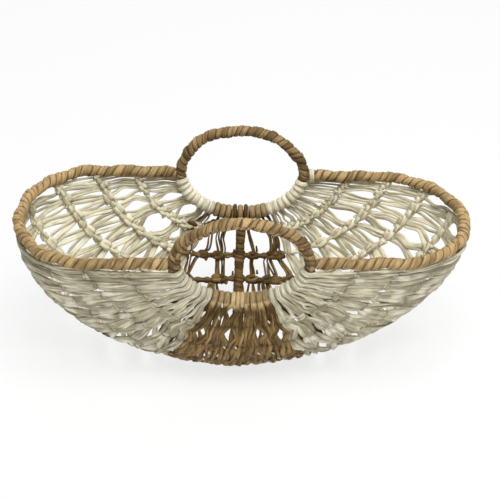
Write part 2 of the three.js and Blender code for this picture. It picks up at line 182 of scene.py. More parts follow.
jute = fibre_finish("jute_strip", dark=(0.132, 0.082, 0.032), light=(0.53, 0.366, 0.172),
                    deep=(0.02, 0.012, 0.005), pale=(0.7, 0.5, 0.3), roughness=0.62, streak=1.0, bump=0.5)


def unit(v):
    """Each vector of an array, at length one."""
    return v / np.maximum(np.linalg.norm(v, axis=-1, keepdims=True), 1e-12)


def smooth(x):
    """0 below 0, 1 above 1, and an even ease between."""
    x = np.clip(x, 0, 1)
    return x * x * (3 - 2 * x)


def ripple(place, size, rate, phase=0.0):
    """A sine wave of the size given, which turns by rate radians for each unit of place."""
    return size * np.sin(place * rate + phase)


def run_of(path):
    """How far along a line each of its points lies."""
    return np.concatenate([[0], np.cumsum(np.linalg.norm(np.diff(path, axis=0), axis=1))])


def evenly(path, count):
    """The same line with its points at equal distances, and how far along each one lies."""
    run = run_of(path)
    where = np.linspace(0, run[-1], count)
    return np.stack([np.interp(where, run, path[:, i]) for i in range(3)], 1), where


def round_about(angle, first, second):
    """Directions round a line: the cosine of each angle times the line's first direction plus its sine
    times the second."""
    return np.cos(angle)[None, :, None] * first[:, None] + np.sin(angle)[None, :, None] * second[:, None]


def settle(p):
    """The settled shape: x moves to -X in proportion to the depth below the rim, and z falls with x
    towards the back, in proportion to the height."""
    x, y, z = p[..., 0], p[..., 1], p[..., 2]
    height = np.clip(z / rim_height, 0, 2)
    back = (y + rim_half_width) / (2 * rim_half_width)
    return np.stack([
        x - belly_sway * np.maximum(0, 1 - height),
        y,
        z - corner_drop * x / rim_half_length * back * np.minimum(height, 1),
    ], -1)


def hoop(face, angle):
    """A hoop's centre line and its outward and radial directions: an oval in a plane that leans by
    hoop_lean, with one height above the rim's level and another below."""
    angle = np.asarray(angle, float)
    height = np.where(np.sin(angle) > 0, hoop_rise, hoop_dip)
    up = np.array([0, face * math.sin(hoop_lean), math.cos(hoop_lean)])
    outward = np.array([0, face * math.cos(hoop_lean), -math.sin(hoop_lean)])
    flat = np.array([1.0, 0, 0])
    middle = np.array([0, face * rim_half_width, rim_height])
    c, s, height = np.cos(angle)[:, None], np.sin(angle)[:, None], height[:, None]
    centre = middle + (hoop_half_width * c) * flat + (height * s) * up
    radial = unit((height * c) * flat + (hoop_half_width * s) * up)
    return centre, np.broadcast_to(outward, centre.shape), radial


def rim_line(side):
    """A rim bar's centre line: straight beside each hoop and half an oval round the end."""
    straight = rim_half_length - rim_end_length - hoop_half_width
    angle = np.linspace(0, math.pi, 600)
    bend = np.stack([
        hoop_half_width + straight + rim_end_length * np.sin(angle),
        rim_half_width * np.cos(angle),
        rim_height + 0 * angle,
    ], 1)
    start = np.array([[hoop_half_width + wrap_start, rim_half_width, rim_height]])
    return np.concatenate([start, bend, start * [1, -1, 1]]) * [side, 1, 1]


class Skins:
    """Closed tubes gathered into one mesh, with what their fibres follow kept at each point."""

    def __init__(self):
        self.points, self.quads, self.caps, self.fibres, self.looks = [], [], [], [], []
        self.count = 0

    def add(self, rings, fibre, tint, painted_shade, bleach=0.0):
        """One tube from its rings of points, shape (rings, sides, 3), closed by a face at each end. fibre
        is (rings, sides, 3), in metres along and round the strand. tint, painted_shade and bleach
        are shades from 0 to 1: painted_shade is painted shade, and bleach is a paleness that is
        partly wear and partly a painted highlight."""
        n, m = rings.shape[:2]
        at = self.count + np.arange(n * m).reshape(n, m)
        beside = np.roll(at, -1, axis=1)
        self.quads.append(np.stack([at[:-1], beside[:-1], beside[1:], at[1:]], -1).reshape(-1, 4))
        self.caps += [at[0, ::-1], at[-1]]
        self.points.append(rings.reshape(-1, 3))
        self.fibres.append(fibre.reshape(-1, 3))
        look = np.zeros((n, m, 3))
        look[..., 0], look[..., 1], look[..., 2] = tint, painted_shade, bleach
        self.looks.append(look.reshape(-1, 3))
        self.count += n * m

    def piece(self, name, finish):
        """The settled mesh as an object in the material given, riding on the basket."""
        quads = np.concatenate(self.quads)
        loops = np.concatenate([quads.ravel()] + self.caps)
        sizes = np.concatenate([np.full(len(quads), 4), [len(cap) for cap in self.caps]])
        mesh = bpy.data.meshes.new(name)
        mesh.vertices.add(self.count)
        mesh.vertices.foreach_set("co", settle(np.concatenate(self.points)).ravel())
        mesh.loops.add(len(loops))
        mesh.loops.foreach_set("vertex_index", loops)
        mesh.polygons.add(len(sizes))
        mesh.polygons.foreach_set("loop_start", np.concatenate([[0], np.cumsum(sizes)[:-1]]))
        mesh.update(calc_edges=True)
        mesh.polygons.foreach_set("use_smooth", np.ones(len(sizes), bool))
        for label, values in (("fibre", self.fibres), ("look", self.looks)):
            layer = mesh.attributes.new(label, "FLOAT_VECTOR", "POINT")
            layer.data.foreach_set("vector", np.concatenate(values).ravel())
        mesh.materials.append(finish)
        mesh.validate()
        made = bpy.data.objects.new(name, mesh)
        scene.collection.objects.link(made)
        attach(made, "root")
        return made


def wound(name, path, up, pitch, shades):
    """A bar wound with strip. A point's place is its distance along the bar over the pitch, plus the strips
    abreast for each turn round the bar, plus a slow wander; the whole part of it numbers the strip, and
    the rest is the way across. The radius swells across each strip as a flat-topped arch and drops in a
    narrow groove at its edge, and strips differ in width, height, tilt, folds and shade. The bar is a
    little bent and lumpy, and the wrapping draws in at its ends. shades are the fibre's shades at the
    start, middle and end."""
    path, run = evenly(path, int(run_of(path)[-1] / ring_step))
    from_end = np.minimum(run, run[-1] - run)
    along = unit(np.gradient(path, axis=0))
    side = unit(np.cross(along, up))
    bend = smooth(from_end / bend_fade) * bend_size
    path = path + ripple(run, bend, 97, 54)[:, None] * side + ripple(run, bend, 141)[:, None] * up
    angle = 2 * math.pi * np.arange(round_count) / round_count
    turns = run[:, None] / pitch + strips_abreast * angle / (2 * math.pi)
    shift = seed.random(4) * 6
    wander = ripple(turns, 0.13, 1.9, ripple(turns, 1.3, 0.63, shift[0]) + shift[1])
    wander = wander + ripple(turns, 0.07, 0.91, shift[2])
    place = turns + wander + ripple(run[:, None], 0.035, 310, 3 * angle + shift[3])
    number = np.floor(place).astype(int)
    across = place - number
    number -= number.min()
    lean, full, breadth, own_shade, crease = seed.random((5, number.max() + 2))[:, number]
    edge = np.abs(2 * across - 1)
    flat = flat_share - flat_loss * np.clip(np.sin(angle + 6.3 * breadth), 0, 1) ** 4
    groove = np.clip((edge - flat) / (1 - flat), 0, 1) ** 1.2 * (0.6 + 0.4 * full)
    tilt = (lean - 0.5) * (across - 0.5) * strip_tilt
    height = strip_swell * ((1 - arch_drop * edge ** 2 - groove_drop * groove) * (0.8 + 0.4 * full) + tilt)
    fold = ripple(across, fold_size, 17, breadth * 6 + 0.6 * np.sin(angle * 2 + crease * 6)) * (1 - groove)
    lump = ripple(run, lump_size, 370, shift[0]) + ripple(run, lump_size, 151, shift[1])
    radius = wrap_radius - strip_swell * 0.95 + height + fold + lump[:, None]
    radius = radius * (end_share + (1 - end_share) * smooth(from_end / end_length))[:, None]
    rings = path[:, None] + radius[..., None] * round_about(angle, np.cross(side, along), side)
    # The numbers in this also give each strip fibres of its own.
    fibre = np.stack([angle * wrap_radius + number * 0.03, across * pitch, number * 0.011], -1)
    shade = np.interp(run / run[-1], [0, 0.5, 1], shades)[:, None]
    skins = Skins()
    # The groove also goes in as painted shade, darkening the grooves between strips.
    skins.add(rings, fibre, shade + 0.22 * (own_shade - 0.5), groove)
    return skins.piece(name, jute)


for label, side in (("left", -1), ("right", 1)):
    upright = np.array([0, 0, 1.0])
    wrap = wound(f"{label}_rim_winding", rim_line(side), upright, strip_pitch, (0.55, 0.76, 0.46))
    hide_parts(f"{label}_rim_wrap")
for label, face, middle_shade in (("front", -1, 0.58), ("back", 1, 0.40)):
    arch = hoop(face, np.linspace(-handle_reach, math.pi + handle_reach, 400))[0]
    outward = np.array([0, face, 0.0])
    wrap = wound(f"{label}_handle_winding", arch, outward, handle_pitch, (0.28, middle_shade, 0.28))
    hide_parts(f"{label}_handle_wrap")

# The ivory net: doubled cords, hitched over the dipping halves of both hoops, cross under the basket, and
# rows of knots tie each one to its neighbours. Cord k is counted from the keel, brown to 4 and ivory to 12,
# negative on the left, and the place t along it runs from 0 at the front bar to 1 at the back bar.
brown_cords, all_cords = 4, 12
seam = brown_cords + 0.5
brown_arc, last_arc, brown_keel, keel_flat, keel_top = 0.030, 0.080, 0.076, 0.032, 0.144
keel_power, crowding, cord_lift, lowest_line = 1.9, 1.33, 0.0008, 0.0012
bar_ease, crown_size, crown_reach, crown_chance = 0.05, 0.0012, 0.22, 0.0005
strand_depth, depth_loss, knot_share, knot_loss = 0.0034, 0.0008, 0.78, 0.1
fullness, fuller_middle, fuller_ends = 1.9, 1.05, 0.9
hitch_radius, loop_points = 0.0053, 14
loop_arc = np.linspace(math.radians(265), math.radians(12), loop_points)
alone_share, hitch_share, share_chance = 0.3, 0.13, 0.02
row_places, row_rise = np.array([0.107, 0.204, 0.307, 0.42]), 0.23
shifted_rows = (1, 3, 4, 6)
ivory = fibre_finish("ivory_cord", dark=(0.30, 0.257, 0.16), light=(0.83, 0.775, 0.575),
                     deep=(0.1, 0.085, 0.05), pale=(0.96, 0.925, 0.77), roughness=0.42, streak=1.15, bump=0.4)

# The lower half of a hoop's bar, and the keel, the line in which the cords cross under the basket: it is
# flat in the middle and rises to the ends as a superellipse. Both have the distances along them.
dip_angle = np.linspace(0, math.pi / 2, 800)
dip_run = run_of(np.stack([hoop_half_width * np.sin(dip_angle), hoop_dip * np.cos(dip_angle)], 1))
keel_x = rim_half_length * np.sin(dip_angle)
keel_reach = np.clip(keel_x - keel_flat, 0, None) / (rim_half_length - keel_flat)
keel_rise = 1 - np.clip(1 - keel_reach ** keel_power, 0, None) ** (1 / keel_power)
keel_z = cord_lift + (keel_top - cord_lift) * keel_rise
keel_run = run_of(np.stack([keel_x, keel_z], 1))


def bar_angle(k):
    """Where on the bar cord k is hitched, as an angle from the bar's lowest point: the brown cords and then
    the ivory ones are evenly spaced along it."""
    k = np.asarray(k, float)
    share = np.where(abs(k) < seam, abs(k) / seam, (abs(k) - seam) / (all_cords - seam))
    arc = np.where(abs(k) < seam, brown_arc * share, brown_arc + (last_arc - brown_arc) * share)
    return np.sign(k) * np.interp(arc, dip_run, dip_angle)


def wall_line(k, count):
    """The net's shape along cord k: from bar to bar on a superellipse, down to the keel's curve, whose
    fullness changes from the middle to the ends, with its points at equal distances."""
    inner = abs(k) < seam
    share = abs(k) / seam if inner else (abs(k) - seam) / (all_cords - seam)
    ivory_keel = brown_keel + (keel_run[-1] - brown_keel) * (1 - (1 - share) ** crowding)
    keel_arc = brown_keel * share if inner else ivory_keel
    low_x, low_z = np.interp(keel_arc, keel_run, keel_x), np.interp(keel_arc, keel_run, keel_z)
    centre, outward, _ = hoop(1, np.array([bar_angle(abs(k)) - math.pi / 2]))
    x, y, z = (centre + outward * hitch_radius)[0]
    reach = abs(k) / all_cords
    power = fullness + fuller_middle * (1 - reach) ** 2 + fuller_ends * reach ** 6
    angle = np.linspace(0, math.pi, 1601)
    sway = -np.sign(np.cos(angle)) * np.abs(np.cos(angle)) ** (2 / power)
    sink = np.clip(np.sin(angle), 0, 1) ** (2 / power)
    side = -1 if k < 0 else 1
    line = np.stack([side * (x + (low_x - x) * sink), y * sway, z + (low_z - z) * sink], 1)
    return evenly(line, count)[0]


# The whole wall as a table of points over k and t, with the directions out of it. Beyond the last cord on
# each side it goes on for five steps in the direction of the last four.
step_k, count_t = 0.125, 401
wall = np.stack([wall_line(k, count_t) for k in np.arange(-all_cords, all_cords + step_k / 2, step_k)])
beyond = np.arange(1, 6)[:, None, None] / 4
before, after = wall[0] + (wall[0] - wall[4]) * beyond, wall[-1] + (wall[-1] - wall[-5]) * beyond
wall = np.concatenate([before[::-1], wall, after])
first_k = -all_cords - 5 * step_k
wall_out = unit(np.cross(np.gradient(wall, axis=1), np.gradient(wall, axis=0)))
wall_across = unit(np.gradient(wall, axis=0))


def sample(values, k, t):
    """Values of a table over k and t, between its points: each the sum of the four nearest, by how near
    they are."""
    i = np.clip((k - first_k) / step_k, 0, len(wall) - 1.001)
    j = np.clip(t * (count_t - 1), 0, count_t - 1.001)
    a, b = i.astype(int), j.astype(int)
    f, g = (i - a)[:, None], (j - b)[:, None]
    return ((values[a, b] * (1 - g) + values[a, b + 1] * g) * (1 - f)
            + (values[a + 1, b] * (1 - g) + values[a + 1, b + 1] * g) * f)


def on_wall(k, t):
    """Points of the net's wall, and the directions out of it there."""
    return sample(wall, k, t), sample(wall_out, k, t)


def spacing(k, t):
    """The distance between neighbouring cords, in metres: the one between points 0.4 of a cord number to
    both sides, over 0.8."""
    return np.linalg.norm(sample(wall, k + 0.4, t) - sample(wall, k - 0.4, t), axis=1) / 0.8


def row_place(row, k):
    """How far along cord k a row of knots crosses it; rows 0 to 3 lie round the front hoop and 4 to 7 round
    the back one. A row lies nearer to its bar in the middle than at its ends, and the last one most."""
    place = row_places[row if row < 4 else 7 - row] * (1 - row_rise * (1 - np.abs(k) / all_cords))
    if row == 7:
        place = place * (1 - 0.4 * (1 - smooth((np.abs(k) - 3) / 3)))
    return place if row < 4 else 1 - place


def marks_of(k):
    """Where cord k starts, meets each row and ends."""
    return np.concatenate([[0], [float(row_place(row, k)) for row in range(8)], [1]])


def behind(t):
    """0 in the front half of the basket and 1 in the back half."""
    return smooth((t - 0.46) / 0.1)


# Where the net stands open: for each opening the cord number and place of its middle, then its half width
# in spaces between cords and its half length.
openings = np.array([
    (-10.5, 0.848, 0.46, 0.020), (-10.1, 0.893, 0.46, 0.020), (-9.25, 0.858, 0.54, 0.024),
    (-7.4, 0.868, 0.88, 0.036), (-9.25, 0.955, 0.62, 0.024), (-6.9, 0.958, 0.85, 0.022),
    (-5.9, 0.865, 0.32, 0.014), (-12.1, 0.667, 0.45, 0.030), (-9.8, 0.588, 0.22, 0.012),
    (11.0, 0.833, 0.34, 0.028), (8.9, 0.838, 0.52, 0.032), (9.5, 0.743, 0.28, 0.020),
    (9.45, 0.657, 0.40, 0.022), (8.45, 0.667, 0.40, 0.030), (12.1, 0.655, 0.48, 0.022),
    (11.25, 0.557, 0.30, 0.015), (5.9, 0.938, 0.30, 0.012), (9.1, 0.917, 0.30, 0.010),
    (-1.2, 0.028, 0.62, 0.016), (-0.85, 0.120, 0.66, 0.021), (2.15, 0.122, 0.62, 0.018),
    (3.85, 0.138, 0.70, 0.020), (-3.7, 0.128, 0.62, 0.018), (-6.0, 0.118, 0.18, 0.007),
    (-7.25, 0.110, 0.24, 0.009), (-5.75, 0.148, 0.14, 0.006), (-5.1, 0.140, 0.16, 0.006),
    (-6.25, 0.043, 0.24, 0.009), (-6.75, 0.085, 0.24, 0.008), (-7.4, 0.055, 0.24, 0.009),
    (-5.2, 0.080, 0.24, 0.009), (7.1, 0.070, 0.26, 0.009), (6.4, 0.107, 0.18, 0.007),
    (5.1, 0.125, 0.18, 0.007), (5.8, 0.080, 0.26, 0.008), (8.5, 0.088, 0.24, 0.008),
    (7.3, 0.120, 0.26, 0.009), (8.8, 0.113, 0.22, 0.008), (7.8, 0.026, 0.30, 0.016),
    (5.4, 0.045, 0.24, 0.009), (6.1, 0.140, 0.16, 0.006), (-0.9, 0.163, 0.20, 0.007),
    (-2.3, 0.230, 0.20, 0.008), (2.6, 0.255, 0.20, 0.008), (3.4, 0.270, 0.22, 0.008),
    (-2.0, 0.195, 0.18, 0.007), (1.3, 0.230, 0.18, 0.008), (-12.2, 0.160, 0.22, 0.011),
    (-12.2, 0.134, 0.22, 0.010), (-12.15, 0.107, 0.20, 0.010), (-11.2, 0.024, 0.25, 0.014),
])


def parted(lane, t):
    """A strand's lane with the openings it passes. In each one its distance d from the middle grows to
    the root of d squared plus the half width squared, and this dies away along the opening's length."""
    for k, place, wide, long in openings:
        away = lane - k
        side = 1 if np.interp(place, t, away) >= 0 else -1
        bell = wide * np.exp(-0.62 * ((t - place) / long) ** 2)
        lane = lane + side * (np.sqrt(away ** 2 + bell ** 2) - np.abs(away))
    return lane


def in_opening(k, t):
    """Whether a point of the net lies well inside one of the openings."""
    across, along = (openings[:, 0] - k) / openings[:, 2], (openings[:, 1] - t) / openings[:, 3]
    return bool((across ** 2 + along ** 2 < 0.5).any())


def strand(skins, path, out, width, thick, squareness=2.6, start=0.0, tint=0.5, twist=0.0, bleach=0.0,
           painted_shade=0.0, edge=0.35):
    """A flat cord along a path: its section is a superellipse, width across and thick along out, both
    of which may change along the path, and it may turn about the path by twist. It is flat where it meets
    the floor. Painted shade darkens its edges by edge and the whole of it by painted_shade, and
    bleach makes it paler, partly wear and partly a painted highlight, most on its outward
    face. start moves the fibres along it."""
    along = unit(np.gradient(path, axis=0))
    out = unit(out - (out * along).sum(-1, keepdims=True) * along)
    across = np.cross(out, along)
    turn = np.broadcast_to(twist, len(path))[:, None]
    across, out = across * np.cos(turn) + out * np.sin(turn), out * np.cos(turn) - across * np.sin(turn)
    angle = 2 * math.pi * (np.arange(8) + 0.5) / 8
    c, s = (np.sign(f) * np.abs(f) ** (2 / squareness) for f in (np.cos(angle), np.sin(angle)))
    width, thick, tint, painted_shade, edge, bleach = (
        np.broadcast_to(v, len(path))[:, None] for v in (width, thick, tint, painted_shade, edge, bleach))
    sideways, outwards = width / 2 * c, thick / 2 * s
    rings = path[:, None] + sideways[..., None] * across[:, None] + outwards[..., None] * out[:, None]
    rings[..., 2] = np.maximum(rings[..., 2], 0)
    fibre = np.stack(np.broadcast_arrays(run_of(path)[:, None] + start, sideways, outwards), -1)
    # The paleness is strongest on the outward face, a painted highlight; the edges get painted shade.
    face = 0.3 + 0.7 * np.clip(np.sin(angle), 0, 1)
    skins.add(rings, fibre, tint, np.maximum(painted_shade, edge * np.abs(np.cos(angle)) ** 6), bleach * face)


def over_bar(face, angle, arc, radius):
    """A loop over a hoop's bar at one angle of the hoop: the angles arc run round the bar from its outer
    side over its top, at the radius from its centre line. Gives its points and their directions out."""
    centre, outward, radial = hoop(face, np.full(len(arc), angle))
    turn = outward * np.cos(arc)[:, None] - radial * np.sin(arc)[:, None]
    return centre + turn * radius, turn


class NetStrand:
    """A strand on side half (-1 or 1) of doubled cord k. shares gives its distance from the cord's middle
    at each mark, in spaces between cords, straight between marks and eased over them. For each place t it
    has near, the distance to the nearer bar; ends, 0 at the bars and 1 in the net; far, 0 in front and 1
    behind; room, the space between cords; loose, 0 at the knots and 1 midway between them; and offset, its
    distance from the middle. phase is six chance angles for its unevenness."""

    def __init__(self, k, half, shares):
        marks = marks_of(k)
        spans = [np.linspace(a, b, 19)[:-1] for a, b in zip(marks[:-1], marks[1:])]
        self.t = np.concatenate(spans + [[1.0]])
        self.near = np.minimum(self.t, 1 - self.t)
        self.ends, self.far = smooth(self.near / bar_ease), behind(self.t)
        self.room = spacing(np.full(len(self.t), float(k)), self.t)
        between = np.interp(self.t, marks, np.arange(len(marks))) % 1
        self.loose = np.sqrt(np.sin(math.pi * between).clip(0, 1))
        # Under the basket, between the rows in front and behind, it runs a quarter of a space off.
        places, aside = np.insert(marks, 5, 0.5), np.insert(shares, 5, 0.25)
        eased = (-0.016, -0.008, 0, 0.008, 0.016)
        self.offset = half * sum(np.interp(self.t + step, places, aside) for step in eased) / len(eased)
        self.phase = seed.random(6) * 6.28

    def width(self, girth, widened=0.0):
        """Its width in the net is a share of the room, up to a greatest width, in front and behind; it is
        drawn thin at the knots and spreads between them. girth gives these four and its width on the front
        bar, which is widened on the back bar."""
        front_share, front_most, back_share, back_most, on_bar = girth
        front = np.minimum(self.room * front_share, front_most)
        back = np.minimum(self.room * back_share, back_most)
        at_knot = knot_share - knot_loss * self.far
        drawn = at_knot + (1 - at_knot) * self.loose
        uneven = 1 + ripple(self.t, 0.13, 47, self.phase[0]) + ripple(self.t, 0.07, 113, self.phase[1])
        free = (front + (back - front) * self.far) * drawn * uneven
        on_bar = on_bar * (1 + widened * self.far)
        return on_bar + (free - on_bar) * self.ends

    def run_beside(self, middle, apart):
        """Set its lane, the cord number at each place: the cord's middle, its own offset, its distance
        apart from its twin, a small stray and the openings that it passes. The nearer to the middle it is,
        the higher it crowns the bars."""
        stray = ripple(self.t, 0.0009, 23, self.phase[2]) + ripple(self.t, 0.0003, 61, self.phase[3])
        stray = self.loose * self.ends * stray / self.room
        self.lane = parted(middle + self.offset + apart + stray, self.t)
        self.crown = crown_size * (1 - min(1.0, abs(self.offset[0] + apart[0]) / crown_reach))

    def bar_wear_and_highlight(self, amount, fade):
        """Paleness of this amount on the bars, which eases off along the length fade from them: partly wear
        and partly a painted highlight.
        """
        return amount * (1 - smooth((self.near - 0.002) / fade))

    def lay(self, skins, lift, wide, deep, squareness, back_sink=0.0, **looks):
        """Add the strand: a loop over the front bar, its way on the wall, raised by lift, and a loop over
        the back bar, sunk by back_sink, nowhere below lowest_line. What is given for the places in the net
        is held on over the loops. It twists a little, and has painted shade at the knots, less behind."""
        path, out = on_wall(self.lane, self.t)
        path = path + out * lift[:, None]
        loops = []
        for face, end, sink in ((-1, 0, 0.0), (1, -1, back_sink)):
            crown = self.crown + crown_chance * seed.random()
            angle = float(bar_angle(self.lane[end])) - math.pi / 2
            loops.append(over_bar(face, angle, loop_arc, hitch_radius + crown - sink))
        (front, front_out), (back, back_out) = loops
        path = np.concatenate([front, path, back[::-1]])
        out = np.concatenate([front_out, out, back_out[::-1]])
        path[:, 2] = np.maximum(path[:, 2], lowest_line)
        # Painted shade at the knots, where the strands draw in; weaker behind.
        shade = (1 - self.loose) ** 1.5 * self.ends * (0.55 - 0.35 * self.far)
        wide, deep, shade, ends = (np.pad(v, loop_points, "edge") for v in (wide, deep, shade, self.ends))
        looks = {name: np.pad(values, loop_points, "edge") for name, values in looks.items()}
        twist = 0.55 * np.sin(np.linspace(0, 17, len(path)) + self.phase[5]) * ends
        strand(skins, path, out, wide, deep, squareness, seed.random() * 3, twist=twist, painted_shade=shade,
               **looks)


def net_shares(k, half, gather):
    """A strand's share of the space between cords at each mark: gathered in its own cord's knot at one
    row and in the neighbour's at the next. The outermost strands, and those at the seam between the
    colours, have no neighbour and keep to their own cord."""
    own = gather / spacing(np.full(10, float(k)), marks_of(k))
    outer_alone = half * k > 0 and abs(k) in (brown_cords, all_cords)
    inner_alone = half * k < 0 and abs(k) == brown_cords + 1
    alone = outer_alone or inner_alone
    shares = np.where(np.isin(np.arange(10) - 1, shifted_rows), alone_share if alone else 0.5 - own, own)
    shares[[0, -1]] = hitch_share
    return shares + share_chance * (seed.random(10) - 0.5)


# Painted highlights on the front cords: cord number and place, and their half width and half length.
painted_highlights = np.array([
    (-9.4, 0.242), (-9.0, 0.305), (-9.0, 0.198), (-7.75, 0.190), (-6.9, 0.188), (-5.75, 0.193),
    (-5.1, 0.372), (-5.9, 0.318), (-9.9, 0.177), (-8.1, 0.235), (-8.4, 0.34), (11.25, 0.223),
    (9.75, 0.245), (11.25, 0.120), (9.1, 0.198), (8.6, 0.260), (8.25, 0.203), (6.75, 0.203),
    (6.25, 0.198), (5.4, 0.195), (5.4, 0.083), (8.25, 0.092), (7.75, 0.195), (9.9, 0.318),
])
highlight_size = np.array([0.30, 0.015])
twin_share, twin_spread = 0.22, 0.125


def ivory_strand(skins, k, half, twin, shares, girth, tint):
    """One of an ivory cord's twin strands (-1 or 1): they lie hard side by side at the knots and a quarter
    of a space apart between them. They are flat and pale on the bars, partly wear and partly a painted
    highlight, with painted highlights on the listed faces and a painted glint here and there in front.
    Behind, where the inside of the basket is seen, their tint is lighter, a painted light, and their
    painted edge shade is weaker."""
    made = NetStrand(k, half, shares)
    wide = made.width(girth, widened=0.22)
    free = made.loose * made.ends
    made.run_beside(k, twin * (twin_share * wide / made.room * (1 - free) + twin_spread * free))
    lift = ripple(made.t, 0.0007, 43, made.phase[4]) + 0.0013 * (made.loose - 0.6) * (1 - made.far)
    deep = strand_depth - depth_loss * made.ends - depth_loss * made.far
    # Painted glints on the front strands, between the knots.
    glint = np.clip(np.sin(made.t * 29 + made.phase[0] * 2), 0, 1) ** 4
    glint = 0.5 * made.loose ** 2 * glint * made.ends * (1 - made.far)
    away = (np.stack([made.lane, made.t], 1)[:, None] - painted_highlights) / highlight_size
    patch = 0.72 * smooth((1.7 - (away ** 2).sum(-1).min(1)) / 1.5) ** 0.7
    # Behind, the lighter tint is painted light and the weaker edge is less painted shade.
    made.lay(skins, lift * made.ends, wide, deep, 2.4, back_sink=0.0004, tint=tint - 0.06 + 0.2 * made.far,
             bleach=np.maximum.reduce([made.bar_wear_and_highlight(0.24, 0.02), glint, patch]), edge=0.35 - 0.3 * made.far)


# A knot's half depth, and how far it is sunk into the wall, in front and behind.
front_knot, back_knot = (0.0024, 0.0014), (0.0026, 0.0008)


def knot(skins, k, t, half_width, half_depth, sunk, cord, tint, turns):
    """A knot: a cord wound in slanting turns round the four strands that meet there. It runs round an oval
    of the half width and half depth, spread along the strands by the cord's width for each turn, and
    draws together at both sides."""
    k, t = np.array([k]), np.array([t])
    centre, out, across = (sample(values, k, t)[0] for values in (wall, wall_out, wall_across))
    centre = centre - out * sunk
    along = np.cross(across, out)
    count = 30
    angle = np.linspace(0, 2 * math.pi * turns, count) + seed.random() * 0.9 - 0.9
    c, s = np.cos(angle), np.sin(angle)
    lie = (np.linspace(-0.5, 0.5, count) + 0.1 * s) * cord * turns * (0.45 + 0.55 * np.abs(s))
    path = (centre + lie[:, None] * along
            + (c * half_width)[:, None] * across + (s * half_depth)[:, None] * out)
    path[:, 2] = np.maximum(path[:, 2], cord * 0.3)
    turn = c[:, None] * across * half_depth / half_width + s[:, None] * out
    wide, thick = cord * (1 + ripple(angle, 0.12, 1.3)), cord * (0.72 + ripple(angle, 0.1, 1.7))
    # edge sets the painted shade at the knot's edges, weaker behind.
    strand(skins, path, turn, wide, thick, 2.1, seed.random() * 3, tint, edge=0.35 if t < 0.5 else 0.04)


def knots_of(skins, row, places, tint, cord, share, most, skipped=0.0, turns=1.9):
    """The knots of one row, at the cord numbers given, with none where the net stands open, and some left
    out by chance. A knot's half width is a share of the space between cords, up to most, and it lies
    flatter and deeper near the floor."""
    for k in places:
        t = float(row_place(row, k)) + 0.006 * (seed.random() - 0.5)
        room = float(spacing(np.array([k]), np.array([t]))[0])
        size = min(room * share, most) * (0.88 + 0.24 * seed.random())
        if seed.random() >= skipped and not in_opening(k, t):
            low = smooth((0.24 - abs(t - 0.5)) / 0.14)
            half_depth, sunk = front_knot if t < 0.5 else back_knot
            half_depth, sunk = half_depth * (1 - 0.3 * low), sunk + 0.0012 * low
            shade = tint + 0.35 * (seed.random() - 0.5)
            own_cord = cord * min(1, 0.6 + size / most * 0.4)
            knot(skins, k, t, size, half_depth, sunk, own_cord, shade, turns)


def row_cord(skins, row, first, last, tint, width):
    """The cord that runs from knot to knot along a row, thick and thin by turns, a little under the wall
    and deeper at the cords than between them."""
    k = np.linspace(first, last, int(abs(last - first) * 8) + 1)
    path, out = on_wall(k, row_place(row, k))
    phase = seed.random(2) * 6.28
    path = path - out * (0.001 + 0.0004 * np.cos(2 * math.pi * k))[:, None]
    path[:, 2] = np.maximum(path[:, 2], lowest_line)
    wide, twist = width * (1 + ripple(k, 0.25, 9, phase[0])), np.sin(k * 2 + phase[1])
    strand(skins, path, out, wide, width * 0.85, 2.1, seed.random() * 3, tint, twist, edge=0.12)


